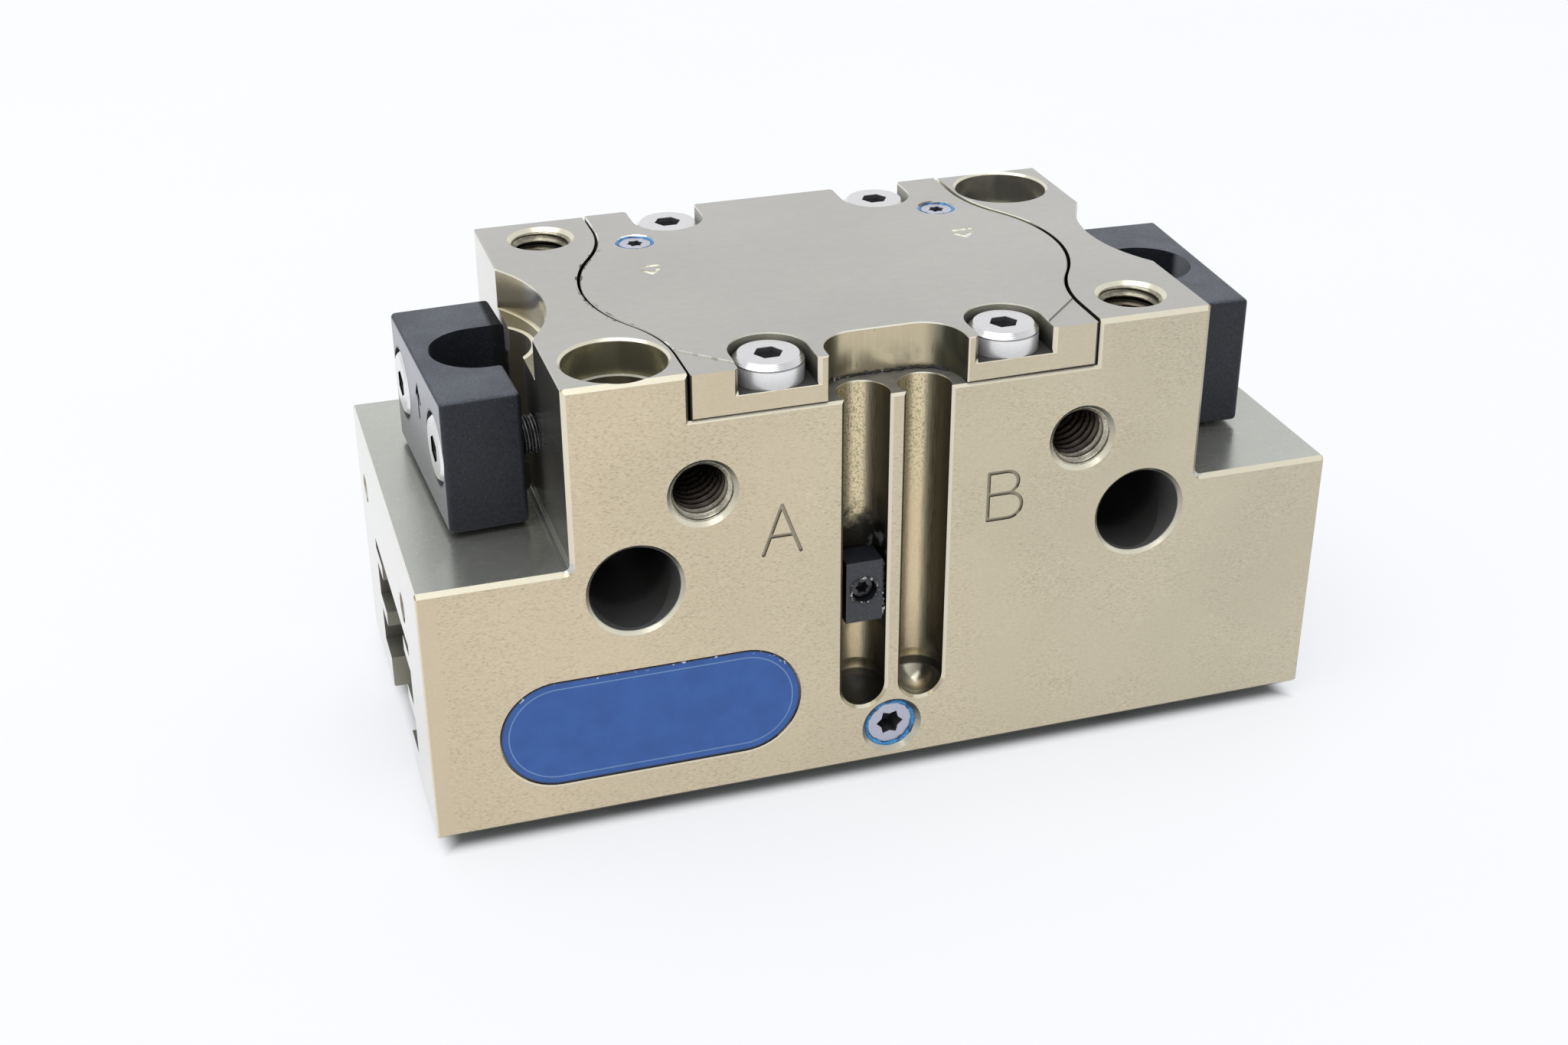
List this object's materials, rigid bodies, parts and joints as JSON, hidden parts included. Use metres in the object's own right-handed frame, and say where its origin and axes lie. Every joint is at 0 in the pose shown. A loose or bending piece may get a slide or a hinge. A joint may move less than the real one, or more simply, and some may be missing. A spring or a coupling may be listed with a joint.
{
  "type": "pneumatic parallel gripper",
  "caption": "Pneumatic parallel gripper with an oval piston, a wedge hook and base jaws in a toothed guide, in a stepped aluminium housing with sensor brackets and switch slots.",
  "frame": {"origin": "middle of the plane of the finger seats, on which the gripper stands with its jaws closed", "axes": "+X along the right jaw's opening stroke, -Y out of the face with the air ports, +Z out of the mounting face"},
  "size_m": [0.075, 0.0352, 0.0379],
  "materials": {
    "anodised_aluminium": "hard anodised, fine horizontal grain",
    "cover_aluminium": "hard anodised, satin",
    "piston_aluminium": "turned",
    "jaw_steel": "ground and hardened",
    "screw_steel": "stainless, bright",
    "plug_steel": "plated, with blue thread seal",
    "magnet": "nickel plated",
    "black_plastic": "moulded, matt",
    "clamp_plastic": "moulded, rough edges",
    "seal_rubber": "nitrile",
    "blue_plate": "blue, satin, blank"
  },
  "bodies": {
    "gripper_body": {"housing": "anodised_aluminium", "cylinder_cover": "cover_aluminium", "cover_screws": "screw_steel", "cover_seal": "seal_rubber", "direct_port_plugs": "plug_steel", "purge_plug": "plug_steel", "channel_plugs": "screw_steel", "label_plate": "blue_plate", "rod_seal": "seal_rubber", "sensor_bracket_left": "black_plastic", "sensor_bracket_right": "black_plastic", "bracket_screws_left": "screw_steel", "bracket_screws_right": "screw_steel"},
    "piston_unit": {"piston": "piston_aluminium", "piston_seal": "seal_rubber", "piston_magnets": "magnet", "piston_screw": "screw_steel", "wedge_hook": "jaw_steel"},
    "left_jaw": {"jaw_left": "jaw_steel", "control_cam_left": "screw_steel", "cam_screw_left": "screw_steel"},
    "right_jaw": {"jaw_right": "jaw_steel", "control_cam_right": "screw_steel", "cam_screw_right": "screw_steel"},
    "clamp_unit": {"switch_clamp": "clamp_plastic", "switch_clamp_screw": "screw_steel"}
  },
  "joints": [
    {"name": "piston_slide", "type": "slide", "parent": "gripper_body", "child": "piston_unit", "axis": [0, 0, -1], "range_m": [0, 0.0075]},
    {"name": "left_jaw_slide", "type": "slide", "parent": "gripper_body", "child": "left_jaw", "axis": [-1, 0, 0], "range_m": [0, 0.006]},
    {"name": "right_jaw_slide", "type": "slide", "parent": "gripper_body", "child": "right_jaw", "axis": [1, 0, 0], "range_m": [0, 0.006]},
    {"name": "switch_clamp_slide", "type": "slide", "parent": "gripper_body", "child": "clamp_unit", "axis": [0, 0, 1], "range_m": [-0.005, 0.0138]}
  ],
  "couplings": [
    {"joint": "left_jaw_slide", "follows": "piston_slide", "ratio": 0.8},
    {"joint": "right_jaw_slide", "follows": "piston_slide", "ratio": 0.8}
  ]
}
